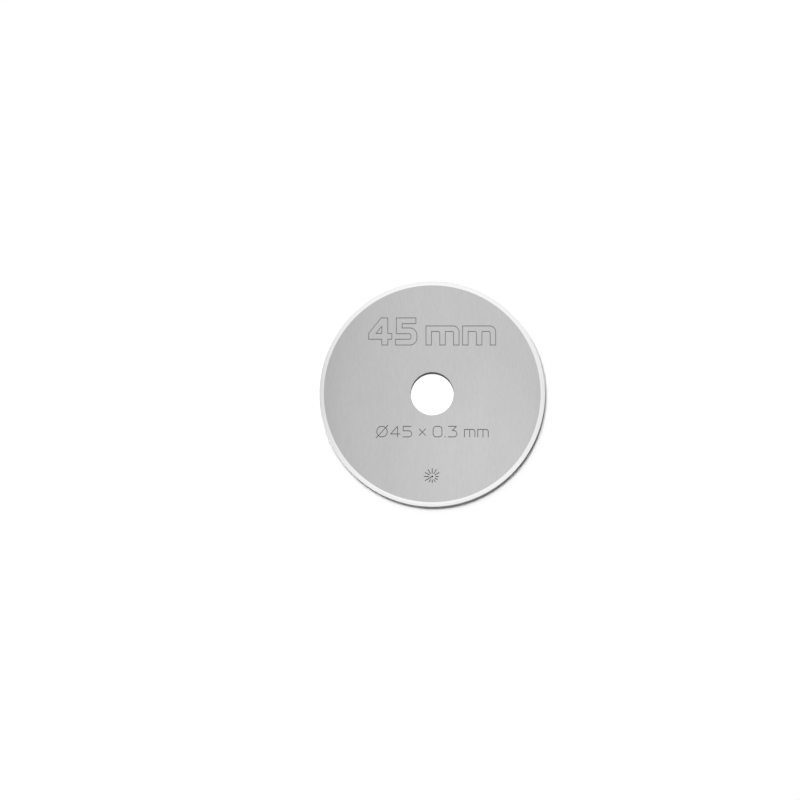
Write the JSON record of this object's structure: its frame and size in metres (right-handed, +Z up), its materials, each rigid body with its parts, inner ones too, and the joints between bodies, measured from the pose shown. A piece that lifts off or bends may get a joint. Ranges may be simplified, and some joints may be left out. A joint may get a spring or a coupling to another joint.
{
  "type": "rotary cutter blade",
  "caption": "Thin round steel blade with a centre bore and a cutting edge bevelled on both faces, for a hand-held rotary cutter.",
  "frame": {"origin": "centre of the bore on the underside, where the blade lies on a flat surface", "axes": "+Z up along the bore, from the underside to the upper face; +X and +Y lie in the blade's plane, with +Y towards the top of the marks on the upper face"},
  "size_m": [0.045, 0.045, 0.0003],
  "materials": {
    "blade_steel": "satin-ground faces with a bright bevelled edge"
  },
  "bodies": {
    "root": {"blade": "blade_steel"}
  },
  "joints": []
}
